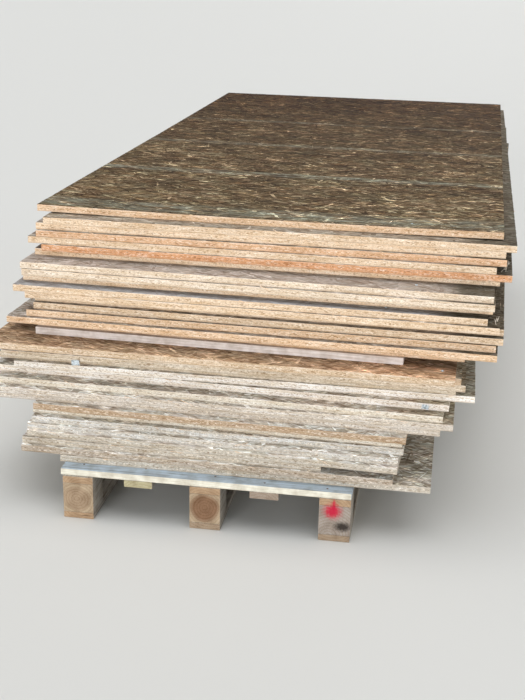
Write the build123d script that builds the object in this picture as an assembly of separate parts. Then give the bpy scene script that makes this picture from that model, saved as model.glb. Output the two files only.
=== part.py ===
from build123d import *
from collections import namedtuple
import os

# A stack of oriented strand board panels that lies loosely on a long wooden block pallet.
# Millimetres. +X is to the right, +Y runs away from the open front end, +Z is up.
# While the stack is built up, the pallet's front left corner on the floor is at zero.
# At the end all pieces move together, so that the origin is the middle of the footprint.

# Panels
panel_length = 2500.0
panel_thickness = 18.5
wide_width = 1250.0
narrow_width = 1008.0
lowest_width = 995.0
short_width = 821.0

# The top panel has cupped at its front end: there its long edges stand this much above its
# middle. The cup fades out to a flat sheet over the panel's first stretch.
cup_rise = 4.0
cup_fade = 1300.0

# Battens between the upper and the middle panels
batten_length = 1004.0
batten_width = 70.0
batten_thickness = 20.0
batten_count = 3
batten_inset = 82.0

# Pallet: cross boards on long boards, three lines of blocks, and a bottom board under each line
pallet_width = 780.0
pallet_length = 2400.0
deck_thickness = 18.0
deck_width = 120.0
deck_count = 5
long_thickness = 20.0
between_width = 77.0
block_width = 83.0
block_length = 90.0
block_height = 84.0
block_rows = 3
bottom_thickness = 18.0

# The lines don't lie quite true. How far each is right of its right place, how far it sticks
# out in front of the cross boards, and how far the long boards between them are off centre.
left_line_shift = 7.0
middle_line_shift = 4.0
left_line_reach = 7.0
middle_line_reach = 3.0
right_line_reach = 2.0
left_between_shift = -9.0
right_between_shift = -15.0

# How a loose piece lies: where its front left corner is, right of and behind the pallet's
# front left corner, and its turn in degrees. A minus turn brings its right end forward.
Lie = namedtuple("Lie", "right back turn width")

upper_panels = [
    Lie(-131, 271, -1.25, wide_width),
    Lie(-98, 219, -0.81, wide_width),
    Lie(-123, 231, -1.01, wide_width),
    Lie(-120, 220, -1.03, wide_width),
    Lie(-144, 223, -1.72, wide_width),
    Lie(-104, 215, -1.34, wide_width),
    Lie(-132, 240, -1.34, wide_width),
    Lie(-147, 161, -2.17, wide_width),
    Lie(-143, 159, -2.58, wide_width),
    Lie(-146, 179, -1.75, wide_width),
    Lie(-159, 133, -1.44, wide_width),
    Lie(-128, 136, -2.08, wide_width),
    Lie(-115, 176, -1.55, wide_width),
    Lie(-115, 163, -1.93, wide_width),
    Lie(-132, 152, -1.63, wide_width),
    Lie(-128, 139, -1.95, wide_width),
    Lie(-206, 195, -2.82, wide_width),
]
front_batten = Lie(-116, 173, -2.28, batten_length)
middle_panels = [
    Lie(-228, 85, -1.55, wide_width),
    Lie(-212, 135, -0.95, wide_width),
    Lie(-200, 126, -0.45, wide_width),
    Lie(-223, 167, -1.25, wide_width),
    Lie(-173, 149, -0.45, wide_width),
    Lie(-237, 163, -2.35, wide_width),
    Lie(-251, 121, -2.05, wide_width),
    Lie(-224, 92, -0.95, wide_width),
    Lie(-256, 106, -1.45, wide_width),
]
lower_panels = [
    Lie(-99, 82, -1.95, narrow_width),
    Lie(-108, 104, -2.05, narrow_width),
    Lie(-104, 79, -0.95, narrow_width),
    Lie(-115, 74, -2.25, narrow_width),
    Lie(-115, 68, -2.65, narrow_width),
    Lie(-127, 62, -1.55, short_width),
    Lie(-126, 49, -1.25, narrow_width),
    Lie(-15, 44, -0.15, lowest_width),
]

# Levels, from the floor up
block_level = bottom_thickness
long_level = block_level + block_height
deck_level = long_level + long_thickness
lower_level = deck_level + deck_thickness
middle_level = lower_level + len(lower_panels) * panel_thickness
batten_level = middle_level + len(middle_panels) * panel_thickness
upper_level = batten_level + batten_thickness

LOW_CORNER = (Align.MIN, Align.MIN, Align.MIN)


def board(width, length, thickness):
    """A flat board with its front left bottom corner at zero."""
    return Box(width, length, thickness, align=LOW_CORNER)


def cup_section(width, thickness, rise, back):
    """The cross-section of a cupped board, this far behind its front end."""
    middle = width / 2
    under = ThreePointArc((0, rise), (middle, 0), (width, rise))
    over = ThreePointArc((0, rise + thickness), (middle, thickness), (width, rise + thickness))
    left_edge = Line(under @ 0, over @ 0)
    right_edge = Line(under @ 1, over @ 1)
    outline = make_face([under, right_edge, over, left_edge])
    return Plane((0, back, 0), x_dir=(1, 0, 0), z_dir=(0, -1, 0)) * outline


def cupped_board(width, length, thickness, rise, fade):
    """A board whose front end is bent to an arc, so that only its middle is at level zero."""
    front = cup_section(width, thickness, rise, 0)
    flat = Plane((0, fade, 0), x_dir=(1, 0, 0), z_dir=(0, -1, 0)) * Rectangle(
        width, thickness, align=(Align.MIN, Align.MIN)
    )
    bent = loft([front, flat], ruled=True)
    straight = extrude(flat, amount=fade - length)
    return bent + straight


def laid(piece, lie, level):
    """A piece put down where it lies, with its underside at a level."""
    return Pos(lie.right, lie.back, level) * Rot(0, 0, lie.turn) * piece


def panel_pile(name, lies, level):
    """Panels on top of each other, counted from the top one down."""
    pile = {}
    for number, lie in enumerate(lies, start=1):
        panel = board(lie.width, panel_length, panel_thickness)
        above = len(lies) - number
        pile[f"{name}_{number:02d}"] = laid(panel, lie, level + above * panel_thickness)
    return pile


def upper_pile():
    """The upper panels, with the cupped one on top."""
    pile = panel_pile("panel_upper", upper_panels, upper_level)
    top_lie = upper_panels[0]
    top_level = upper_level + (len(upper_panels) - 1) * panel_thickness
    top_panel = cupped_board(top_lie.width, panel_length, panel_thickness, cup_rise, cup_fade)
    pile["panel_upper_01"] = laid(top_panel, top_lie, top_level)
    return pile


def evenly(first, last, count):
    """Places from the first to the last, all the same way apart."""
    step = (last - first) / (count - 1)
    return [first + number * step for number in range(count)]


def battens():
    """The battens that keep the upper panels off the middle ones, all laid like the front one.
    The back one lies an inset before the back end of the panel below it."""
    panel_back = middle_panels[0].back + panel_length
    backs = evenly(front_batten.back, panel_back - batten_inset - batten_width, batten_count)
    pieces = {}
    for place, back in zip(("front", "middle", "back"), backs):
        lie = front_batten._replace(back=back)
        piece = board(lie.width, batten_width, batten_thickness)
        pieces[f"batten_{place}"] = laid(piece, lie, batten_level)
    return pieces


def pallet():
    """The pallet, from its bottom boards up to its cross boards."""
    lines = {
        "left": (left_line_shift, left_line_reach),
        "middle": ((pallet_width - block_width) / 2 + middle_line_shift, middle_line_reach),
        "right": (pallet_width - block_width, right_line_reach),
    }
    pieces = {}
    bottom_board = board(block_width, pallet_length, bottom_thickness)
    block = board(block_width, block_length, block_height)
    line_board = board(block_width, pallet_length, long_thickness)
    rows = evenly(0.0, pallet_length - block_length, block_rows)
    for place, (right, reach) in lines.items():
        line = Pos(right, -reach, 0)
        pieces[f"pallet_bottom_board_{place}"] = line * bottom_board
        pieces[f"pallet_long_board_{place}"] = line * Pos(0, 0, long_level) * line_board
        for number, back in enumerate(rows, start=1):
            pieces[f"pallet_block_{place}_{number}"] = line * Pos(0, back, block_level) * block

    gaps = {
        "left_between": (lines["left"][0], lines["middle"][0], left_between_shift),
        "right_between": (lines["middle"][0], lines["right"][0], right_between_shift),
    }
    between_board = board(between_width, pallet_length, long_thickness)
    for place, (left_line, right_line, shift) in gaps.items():
        centre = (left_line + right_line + block_width) / 2 + shift
        between = Pos(centre - between_width / 2, 0, long_level)
        pieces[f"pallet_long_board_{place}"] = between * between_board

    deck_board = board(pallet_width, deck_width, deck_thickness)
    for number, back in enumerate(evenly(0.0, pallet_length - deck_width, deck_count), start=1):
        pieces[f"pallet_deck_board_{number}"] = Pos(0, back, deck_level) * deck_board
    return pieces


pieces = {}
pieces.update(upper_pile())
pieces.update(battens())
pieces.update(panel_pile("panel_middle", middle_panels, middle_level))
pieces.update(panel_pile("panel_lower", lower_panels, lower_level))
pieces.update(pallet())

# The origin goes to the middle of the whole footprint, on the floor
footprint = Compound(list(pieces.values())).bounding_box()
to_middle = Pos(-footprint.center().X, -footprint.center().Y, -footprint.min.Z)

os.makedirs("parts", exist_ok=True)
for name, piece in pieces.items():
    export_step(to_middle * piece, f"parts/{name}.step")
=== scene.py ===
import math
import random

import bmesh
import bpy
from mathutils import Matrix, Vector, noise


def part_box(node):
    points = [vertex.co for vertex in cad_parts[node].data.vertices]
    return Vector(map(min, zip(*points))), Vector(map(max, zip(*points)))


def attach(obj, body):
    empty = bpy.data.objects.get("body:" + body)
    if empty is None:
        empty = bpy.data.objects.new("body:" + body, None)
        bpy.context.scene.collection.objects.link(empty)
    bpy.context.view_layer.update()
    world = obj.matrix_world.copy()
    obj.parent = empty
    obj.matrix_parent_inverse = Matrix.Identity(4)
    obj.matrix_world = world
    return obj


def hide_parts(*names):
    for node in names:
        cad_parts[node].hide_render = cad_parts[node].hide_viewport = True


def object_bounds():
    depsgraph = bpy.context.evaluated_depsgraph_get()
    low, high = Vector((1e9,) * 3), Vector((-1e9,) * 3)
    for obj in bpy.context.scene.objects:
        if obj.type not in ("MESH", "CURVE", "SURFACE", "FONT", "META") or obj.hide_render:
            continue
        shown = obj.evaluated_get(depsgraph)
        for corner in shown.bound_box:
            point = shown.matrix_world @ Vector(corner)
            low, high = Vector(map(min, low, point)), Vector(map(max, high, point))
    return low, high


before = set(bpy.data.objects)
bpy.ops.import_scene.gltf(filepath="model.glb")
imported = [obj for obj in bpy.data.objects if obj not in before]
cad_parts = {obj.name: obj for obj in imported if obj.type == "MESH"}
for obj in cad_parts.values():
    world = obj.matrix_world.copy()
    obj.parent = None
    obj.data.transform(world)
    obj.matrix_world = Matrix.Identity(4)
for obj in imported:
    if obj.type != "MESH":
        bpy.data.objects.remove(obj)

bl_info = {
    "name": "Strand Board Stack",
    "version": (1, 0, 0),
    "blender": (4, 5, 0),
    "location": "3D View > Sidebar > Stack",
    "description": "Finishes a loose stack of oriented strand board panels on its block pallet",
    "category": "Object",
}

MM = 0.001
CAD_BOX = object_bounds()

# Panels from the top down, as they lie on each other
UPPER = [f"panel_upper_{n:02d}" for n in range(1, 18)]
MIDDLE = [f"panel_middle_{n:02d}" for n in range(1, 10)]
LOWER = [f"panel_lower_{n:02d}" for n in range(1, 9)]
PANELS = UPPER + MIDDLE + LOWER

# Every panel is as thick as the second one. The top one's box is higher, because it is cupped.
SECOND_LOW, SECOND_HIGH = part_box(PANELS[1])
PANEL_THICKNESS = SECOND_HIGH.z - SECOND_LOW.z

# Places closer than this, in metres, are taken as the same
NEAR = 1e-5

# Strands on a square metre of the top panel and of the others, and how far apart their seeds are
TOP_STRANDS = 4600
OTHER_STRANDS = 3200
SEED_STEP = 10

# Where a face goes over into another tint: along its width (X) or length (Y), from where to where
# Painted shade: most faces turn to a darker tint over this span at their right end, where the right
# side of the stack lies in shade.
PAINTED_SHADE_STRIP = ("X", 1100 * MM, 1170 * MM)
# Painted light: the brown face turns to a lighter tint over this span toward its right end, against
# the shade that the upper panels throw on it there.
PAINTED_LIGHT_END = ("X", 800 * MM, 1100 * MM)
SHELTERED_BACK = ("Y", 50 * MM, 2300 * MM)

# Pale stripes across the top panel: place and half width along it, and strength
TOP_BANDS = (
    (60 * MM, 50 * MM, 0.85),
    (604 * MM, 26 * MM, 0.9),
    (1143 * MM, 24 * MM, 0.5),
    (1682 * MM, 22 * MM, 0.4),
)

# Torn splinters at the arrises of the top panel, and of each other one
TOP_SPLINTERS = 34
OTHER_SPLINTERS = 6
SPLINTER_SEED = 23

# At the top panel's front, those up to this share of its width hang in one tuft instead
TUFT_SHARE = 0.6
TUFT_PLACE = 330 * MM
TUFT_SPREAD = 30 * MM

# Frayed strands at the front right corners of two panels, and one that stands up on a third: the
# panel, the place along and back, how many, the longest one, and the turn from its width in radians
FRAY_SEED = 41
FRAYS = (
    ("panel_upper_06", 1233 * MM, 72 * MM, 5, 120 * MM, 1.44),
    ("panel_upper_12", 1243 * MM, 70 * MM, 4, 60 * MM, 1.56),
    ("panel_upper_14", 1154 * MM, -1 * MM, 1, 16 * MM, 0.3),
)

# Blank scraps of paper on front edges: the panel, the place along and up, the turn in radians, and
# the width and height
SCRAPS = (
    ("panel_middle_03", 212 * MM, -1 * MM, 0.08, 22 * MM, 15 * MM),
    ("panel_middle_06", 1189 * MM, 9 * MM, -0.12, 18 * MM, 12 * MM),
)

# Torn crumbs of paper on faces: the panel, the place along, back and up, and the radius
CRUMBS = (
    ("panel_upper_01", 1013 * MM, 46 * MM, 20.5 * MM, 2.2 * MM),
    ("panel_upper_08", 1053 * MM, 50 * MM, 20.0 * MM, 3.0 * MM),
    ("panel_upper_11", 993 * MM, 32 * MM, 20.0 * MM, 2.6 * MM),
    ("panel_middle_01", 1215 * MM, 58 * MM, 20.0 * MM, 3.2 * MM),
)

# Battens, and the pallet's cross boards and rows of blocks, from the front to the back
BATTENS = ("front", "middle", "back")
CROSS_BOARDS = [f"pallet_deck_board_{n}" for n in range(1, 6)]
BLOCK_ROWS = (1, 2, 3)

# Long boards of the pallet from the left to the right, and the wood of each
LONG_BOARDS = {
    "left": "line_board",
    "left_between": "left_between",
    "middle": "line_board",
    "right_between": "right_between",
    "right": "sprayed_line_board",
}

# Nails: the two rows as shares of a cross board's width, and how far each nail strays
NAIL_SEED = 5
NAIL_ROWS = (0.24, 0.74)
NAIL_STRAY_ACROSS = 24 * MM
NAIL_STRAY_ALONG = 16 * MM

# Pith of each line's front block, to the right of its middle and above it, and how much it moves
# from one row to the next
BLOCK_PITHS = {
    "left": (-3.3 * MM, -3.4 * MM),
    "middle": (-0.8 * MM, 2.5 * MM),
    "right": (-16 * MM, -46 * MM),
}
PITH_STEP_RIGHT = 6 * MM
PITH_STEP_UP = -4 * MM

# Marks on the fronts of the right block and the board above it: the place as a share of the
# block's width from the left and of its height from the top, the half size, the strength, and how
# ragged the rim is
KNOT = (0.77, 0.69, (21 * MM, 60 * MM, 13 * MM), 0.97, 0.9)
SPRAY_RUN = (0.47, -0.02, (4 * MM, 60 * MM, 17 * MM), 0.8, 0.9)
SPRAY_DOT = (0.43, 0.18, (22 * MM, 60 * MM, 20 * MM), 0.96, 1.0)

# Crack in the front end of the left bottom board, halfway up: how far from its right side it is,
# the half size, the strength, and how ragged the rim is
CRACK_INSET = 22 * MM
CRACK = ((14 * MM, 60 * MM, 1.2 * MM), 0.8, 0.6)

# Tints of small things that a user wouldn't change
WARM_WHITE = "#fff8ea"
BAND_DUST = "#88887a"
KNOT_BROWN = "#3a332f"
CRACK_BROWN = "#4b3a2c"
FOOT_GREY = "#8a847a"
RUST = "#6b4a35"
PAPER_STAIN = "#9dabb2"

# Lamps, all of them suns: the name, the strength, and the turn about X, Y and Z and the spread in
# degrees
LAMPS = (
    ("daylight", 2.15, (86, 0, -12), 24),
    ("skylight", 1.5, (5, 3, 0), 60),
    ("left_fill", 1.1, (86, 0, -95), 30),
    ("right_fill", 0.8, (86, 0, 85), 30),
    ("back_fill", 1.2, (87, 0, 175), 24),
)

# The world's light and its tint, how bright the background itself looks, and half the width of
# the floor in metres
WORLD_LIGHT = 0.38
WORLD_TINT = (0.96, 0.98, 1.0, 1.0)
WORLD_WHITE = 0.76
FLOOR_REACH = 30.0

# Camera, from the pallet's front left corner on the floor: to the right, behind and above it in
# metres, turned in degrees about X, Y and Z, with a lens for a frame of this width
CAMERA_RIGHT = 0.9713
CAMERA_BACK = -2.7748
CAMERA_HEIGHT = 1.5064
CAMERA_TURN = (70.573, -1.114, 9.234)
CAMERA_LENS = 61.19
CAMERA_FRAME = 36.0


def linear(text):
    """A colour written as sRGB hex, as linear red, green, blue and alpha."""
    parts = [int(text[i:i + 2], 16) / 255 for i in (1, 3, 5)]
    curve = [p / 12.92 if p <= 0.04045 else ((p + 0.055) / 1.055) ** 2.4 for p in parts]
    return (*curve, 1.0)


def blended(one, other, share):
    """A colour between two, by the other's share."""
    return tuple(a + (b - a) * share for a, b in zip(one, other))


def shaded(colour, red, green, blue):
    """A colour with its red, green and blue turned down or up."""
    return (colour[0] * red, colour[1] * green, colour[2] * blue, 1.0)


def length_property(name, description, millimetres):
    """A length that a user can change, given in millimetres."""
    return bpy.props.FloatProperty(
        name=name, description=description, default=millimetres * MM, unit="LENGTH", precision=4
    )


def colour_property(name, description, text):
    """A colour that a user can change, given as sRGB hex."""
    return bpy.props.FloatVectorProperty(
        name=name, description=description, default=linear(text), size=4, subtype="COLOR"
    )


class StackSizes(bpy.types.PropertyGroup):
    """Real sizes of the strands, the sawn edges and the pallet's timber"""

    strand_length: length_property("Strand length", "Longest strand on a panel's face", 84)
    strand_width: length_property("Strand width", "Widest strand on a panel's face", 11)
    strand_thickness: length_property("Strand thickness", "Thickness of one strand", 0.5)
    strand_tilt: bpy.props.FloatProperty(
        name="Strand scatter",
        description="How far strands turn away from the panel's width",
        default=math.radians(50),
        subtype="ANGLE",
    )
    edge_pitch: length_property("Edge pitch", "Spacing of the points along a sawn edge", 9)
    edge_wear: length_property("Edge wear", "Depth of the broken bits along a panel's edges", 0.9)
    hidden_margin: length_property(
        "Hidden margin", "How far strands reach under the panel above", 25
    )
    cup_fade: length_property("Cup fade", "Length over which the top panel's cup fades out", 1300)
    timber_edge: length_property("Timber edge", "Rounding of the pallet's sawn edges", 1.5)
    nail_head: length_property("Nail head", "Diameter of a nail's head", 7)


class StackColours(bpy.types.PropertyGroup):
    """Colours of the wood and what is on it, set to look in the studio as in plain daylight"""

    cream: colour_property("Cream", "Sawn edge of pale board", "#f1e4d0")
    # Honey is painted light: a paler edge for the third, seventh and tenth upper panels, which lie
    # back in the shade of the panels over them.
    honey: colour_property("Honey", "Sawn edge of the freshest board", "#ffe9cc")
    straw: colour_property("Straw", "Sawn edge of fresh board", "#edd8bc")
    tan: colour_property("Tan", "Sawn edge of tanned board", "#edd1b1")
    apricot: colour_property("Apricot", "Sawn edge of reddish board", "#e9c4a1")
    orange: colour_property("Orange", "Sawn edge of strong orange board", "#e4b087")
    sand: colour_property("Sand", "Sawn edge of board gone yellow-grey", "#dcc8ad")
    oat: colour_property("Oat", "Sawn edge of board a little greyer", "#ddd4c2")
    # Bone is painted light: white edges for the fifth and sixth middle panels, which lie back in the
    # shade of the panels over them.
    bone: colour_property("Bone", "Sawn edge of board bleached in the open", "#fffffb")
    ivory: colour_property("Ivory", "Sawn edge, pale with a little dust", "#eae8dd")
    ash: colour_property("Ash", "Sawn edge of whitish grey board", "#d9d5cd")
    mist: colour_property("Mist", "Sawn edge under cool grey dust", "#d7dad8")
    pearl: colour_property("Pearl", "Sawn edge under more grey dust", "#cfd0cc")
    stone: colour_property("Stone", "Sawn edge of dusty board low in the stack", "#cac7bd")
    clay: colour_property("Clay", "Sawn edge of the dirtiest board", "#bcb3a6")
    umber: colour_property("Umber", "Sawn edge of the uppermost lower panel", "#c0ab92")
    weathered: colour_property("Weathered face", "Face of the top panel at its front", "#6f604b")
    sheltered: colour_property("Sheltered face", "Face of the top panel at its back", "#443220")
    dusty: colour_property(
        "Dusty face", "Face strips that stick out of the upper panels", "#aea7a1"
    )
    buff: colour_property("Buff face", "Face strip under the top panel", "#a69c90")
    pale: colour_property("Pale face", "Widest face strip of the upper panels", "#b9afa8")
    cool: colour_property("Cool face", "Greyest face strip of the upper panels", "#adacaf")
    sawdust: colour_property(
        "Sawdust face", "Face strips that stick out low in the stack", "#d8d6d3"
    )
    grubby: colour_property("Grubby face", "Face of the lowest panel", "#c2bfb9")
    # Fresh is painted light: the lighter tint of the brown face's right end, which lies in the shade
    # of the upper panels.
    fresh: colour_property("Fresh face", "Covered right end of the brown face", "#d6b294")
    # Painted shade: darker tints for the right ends of the upper and of the lower faces, where the
    # right side of the stack lies in shade.
    painted_shade_strip: colour_property("Open strip", "Upper faces that stick out at the right", "#6b655a")
    low_painted_shade_strip: colour_property("Low strip", "Lower faces that stick out at the right", "#c2bdb1")
    brown: colour_property("Brown face", "Face that the battens lie on", "#b59b82")
    deck: colour_property("Deck wood", "Fresh sawn edge of the pallet's cross boards", "#ebe8da")
    block: colour_property("Block wood", "End grain of the pallet's blocks", "#b9a68e")
    heart: colour_property("Heart wood", "Heart of the pallet's middle block", "#896b54")
    pinkish: colour_property("Pinkish wood", "End grain of the pallet's right block", "#a69c94")
    line_board: colour_property(
        "Line board", "Ends of the boards above and below the blocks", "#b79c80"
    )
    yellowish: colour_property(
        "Yellowish wood", "End of the left board between the lines", "#bbb494"
    )
    batten: colour_property("Batten", "Planed batten gone pinkish grey", "#f1e9e6")
    # Rain grey is partly painted light: its blue is a cast of skylight, laid over the grey that the
    # rain left on the deck.
    rain_grey_and_sky_cast: colour_property(
        "Rain grey", "Top of the cross boards, gone grey in the rain", "#b0c0ce"
    )
    # Shade grey is partly painted shade: the sides of the pallet's wood are drawn darker for the shade
    # they stand in as well as for their weathering.
    shade_grey: colour_property("Shade grey", "Sides of the pallet's wood, gone dark", "#a8a299")
    spray: colour_property("Spray mark", "Red spray dot on the front right block", "#c4203f")
    paper: colour_property("Paper", "Blank paper scraps on two panels", "#e9f3f9")
    nail: colour_property("Nail", "Rusted nail heads", "#6a6661")
    floor: colour_property("Floor", "Studio floor", "#dededb")


# Sawn edge colour of each panel, from the top panel down. Honey and bone are painted light:
# paler edges for panels that lie back in the shade of those over them.
EDGE_COLOURS = (
    "tan straw honey apricot straw orange honey cream cream honey straw straw straw straw tan tan tan "
    "sand sand oat oat bone bone ivory ash ash "
    "umber ivory mist pearl stone stone clay stone"
).split()

# Options of a node that mixes two colours, and of one that multiplies them
MIXED = {"data_type": "RGBA"}
MULTIPLIED = {"data_type": "RGBA", "blend_type": "MULTIPLY"}

# Full and no tone in a colour ramp
WHITE = (1, 1, 1, 1)
BLACK = (0, 0, 0, 1)


def settings():
    """The sizes and colours that the user sees in the sidebar."""
    return bpy.context.scene.stack_sizes, bpy.context.scene.stack_colours


def add_node(tree, kind, inputs=None, stops=(), **options):
    """Adds a node. Inputs are links or plain values by socket name or number. Stops are the places
    and colours of a colour ramp.
    """
    node = tree.nodes.new(kind)
    for name, value in options.items():
        setattr(node, name, value)
    for key, value in (inputs or {}).items():
        if isinstance(value, bpy.types.NodeSocket):
            tree.links.new(value, node.inputs[key])
        else:
            node.inputs[key].default_value = value
    for number, (place, colour) in enumerate(stops):
        elements = node.color_ramp.elements
        element = elements[number] if number < len(elements) else elements.new(1.0)
        element.position = place
        element.color = colour
    return node


def new_material(name, roughness):
    """A material with nothing but its shader, whose sockets the caller fills."""
    material = bpy.data.materials.new(name)
    material.use_nodes = True
    tree = material.node_tree
    tree.nodes.clear()
    shader = add_node(
        tree, "ShaderNodeBsdfPrincipled", {"Roughness": roughness, "Specular IOR Level": 0.12}
    )
    add_node(tree, "ShaderNodeOutputMaterial", {"Surface": shader.outputs[0]})
    return material, tree, shader


def speckle(tree, vector, size, stops):
    """Cells of a real size, each with its own tone from the stops."""
    scaled = add_node(
        tree, "ShaderNodeMapping", {"Vector": vector, "Scale": [1 / side for side in size]}
    )
    cells = add_node(tree, "ShaderNodeTexVoronoi", {"Vector": scaled.outputs[0], "Scale": 1.0})
    tone = add_node(tree, "ShaderNodeSeparateColor", {0: cells.outputs["Color"]})
    ramp = add_node(tree, "ShaderNodeValToRGB", {0: tone.outputs[0]}, stops=stops)
    return ramp.outputs[0]


def cloud(tree, vector, size, stops, detail=3.0):
    """Soft patches of a real size, with tones from the stops."""
    scaled = add_node(
        tree, "ShaderNodeMapping", {"Vector": vector, "Scale": [1 / side for side in size]}
    )
    noise_node = add_node(
        tree, "ShaderNodeTexNoise", {"Vector": scaled.outputs[0], "Scale": 1.0, "Detail": detail}
    )
    ramp = add_node(tree, "ShaderNodeValToRGB", {0: noise_node.outputs[0]}, stops=stops)
    return ramp.outputs[0], noise_node.outputs[0]


def toned(tree, colour, layers):
    """A colour turned down or up by layers of tone, each with its share."""
    for share, layer in layers:
        laid = add_node(tree, "ShaderNodeMix", {0: share, 6: colour, 7: layer}, **MULTIPLIED)
        colour = laid.outputs[2]
    return colour


def panel_place(tree):
    """A point's place on its own panel, across, along and up, and its level over the floor."""
    lay = add_node(tree, "ShaderNodeAttribute", attribute_name="lay")
    local = add_node(tree, "ShaderNodeSeparateXYZ", {0: lay.outputs["Vector"]})
    place = add_node(tree, "ShaderNodeTexCoord")
    level = add_node(tree, "ShaderNodeSeparateXYZ", {0: place.outputs["Object"]})
    return local.outputs, level.outputs["Z"]


def osb_sawn_edge(name, tint):
    """Oriented strand board cut by a saw: flat strand ends in layers, matt. The outer layers show
    long pale streaks, and the core shows short speckles with small dark voids.

    Strands are really under 1 mm thick. They are drawn about 2 mm thick, so that they show.
    """
    material, tree, shader = new_material(name, 0.86)
    dark = shaded(tint, 0.66, 0.58, 0.50)
    light = blended(tint, linear(WARM_WHITE), 0.6)
    local, level = panel_place(tree)
    run = add_node(tree, "ShaderNodeMath", {0: local["X"], 1: local["Y"]})
    spot = add_node(tree, "ShaderNodeCombineXYZ", {"X": run.outputs[0], "Z": level})
    spot = spot.outputs[0]

    streaks = speckle(
        tree,
        spot,
        (24 * MM, 1.0, 2.0 * MM),
        [(0.0, dark), (0.12, blended(dark, tint, 0.6)), (0.6, tint), (1.0, light)],
    )
    speckles = speckle(
        tree,
        spot,
        (6 * MM, 1.0, 1.9 * MM),
        [
            (0.0, shaded(tint, 0.50, 0.41, 0.33)),
            (0.07, dark),
            (0.30, blended(dark, tint, 0.7)),
            (0.70, tint),
            (1.0, light),
        ],
    )
    height = add_node(
        tree, "ShaderNodeMath", {0: local["Z"], 1: PANEL_THICKNESS}, operation="DIVIDE"
    )
    core = add_node(
        tree,
        "ShaderNodeValToRGB",
        {0: height.outputs[0]},
        stops=[
            (0.10, (0.25, 0.25, 0.25, 1)),
            (0.36, WHITE),
            (0.66, WHITE),
            (0.9, (0.15, 0.15, 0.15, 1)),
        ],
    )
    strands = add_node(
        tree, "ShaderNodeMix", {0: core.outputs[0], 6: streaks, 7: speckles}, **MIXED
    )
    grit, grit_height = cloud(
        tree,
        spot,
        (5 * MM, 1.0, 1.6 * MM),
        [
            (0.30, (0.70, 0.65, 0.59, 1)),
            (0.46, (0.98, 0.98, 0.97, 1)),
            (0.72, (1.08, 1.08, 1.09, 1)),
        ],
    )
    dust, _ = cloud(
        tree,
        spot,
        (2.4 * MM, 1.0, 0.9 * MM),
        [(0.34, (0.80, 0.77, 0.73, 1)), (0.5, WHITE), (0.66, (1.14, 1.14, 1.15, 1))],
    )
    patches, _ = cloud(
        tree,
        spot,
        (170 * MM, 1.0, 26 * MM),
        [(0.34, (0.90, 0.87, 0.84, 1)), (0.6, (1.04, 1.04, 1.05, 1))],
    )
    hues, _ = cloud(
        tree,
        spot,
        (110 * MM, 1.0, 6 * MM),
        [(0.38, (1.07, 1.07, 1.10, 1)), (0.62, (0.96, 0.895, 0.82, 1))],
    )
    # Painted highlight: the top arris of each sawn edge is drawn lighter, as if it caught the light,
    # and the bottom arris is drawn darker.
    arrises = add_node(
        tree,
        "ShaderNodeValToRGB",
        {0: height.outputs[0]},
        [
            (0.03, (0.78, 0.76, 0.74, 1)),
            (0.17, WHITE),
            (0.80, WHITE),
            (0.95, (1.13, 1.13, 1.15, 1)),
        ],
    )
    layers = [(1.0, layer) for layer in (grit, dust, hues, patches, arrises.outputs[0])]
    finish = toned(tree, strands.outputs[2], layers)
    tree.links.new(finish, shader.inputs["Base Color"])
    bump = add_node(
        tree, "ShaderNodeBump", {"Height": grit_height, "Distance": 0.8 * MM, "Strength": 0.6}
    )
    tree.links.new(bump.outputs[0], shader.inputs["Normal"])
    return material


def strand_grain(tree, spot, strand_tone, is_loose):
    """Grain as a noise: about eight lines across a loose strand, drawn out along it, and along the
    panel's width on the flat ones. The shift only takes each strand's grain from another place in
    the noise.
    """
    own_shift = (57, 91, 33)
    lines_on_strand = (2.5, 8, 0)
    lines_per_metre = (28, 600, 1)
    strand = add_node(tree, "ShaderNodeAttribute", attribute_name="strand")
    shift = add_node(
        tree,
        "ShaderNodeVectorMath",
        {0: strand_tone.outputs["Vector"], 1: own_shift},
        operation="MULTIPLY",
    )
    drawn = add_node(
        tree,
        "ShaderNodeVectorMath",
        {0: strand.outputs["Vector"], 1: lines_on_strand},
        operation="MULTIPLY",
    )
    own = add_node(tree, "ShaderNodeVectorMath", {0: shift.outputs[0], 1: drawn.outputs[0]})
    common = add_node(tree, "ShaderNodeMapping", {"Vector": spot, "Scale": lines_per_metre})
    grain_place = add_node(
        tree,
        "ShaderNodeMix",
        {0: is_loose.outputs[0], 4: common.outputs[0], 5: own.outputs[0]},
        data_type="VECTOR",
    )
    grain = add_node(
        tree,
        "ShaderNodeTexNoise",
        {"Vector": grain_place.outputs[1], "Scale": 1.0, "Detail": 3.0, "Roughness": 0.6},
    )
    return grain.outputs[0]


def changed_tint(tree, local, tint, change):
    """A tint that goes over into another one along one axis of the panel."""
    other, axis, start, end = change
    share = add_node(
        tree,
        "ShaderNodeMapRange",
        {"Value": local[axis], "From Min": start, "From Max": end},
    )
    mixed = add_node(tree, "ShaderNodeMix", {0: share.outputs[0], 6: tint, 7: other}, **MIXED)
    return mixed.outputs[2]


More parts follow.
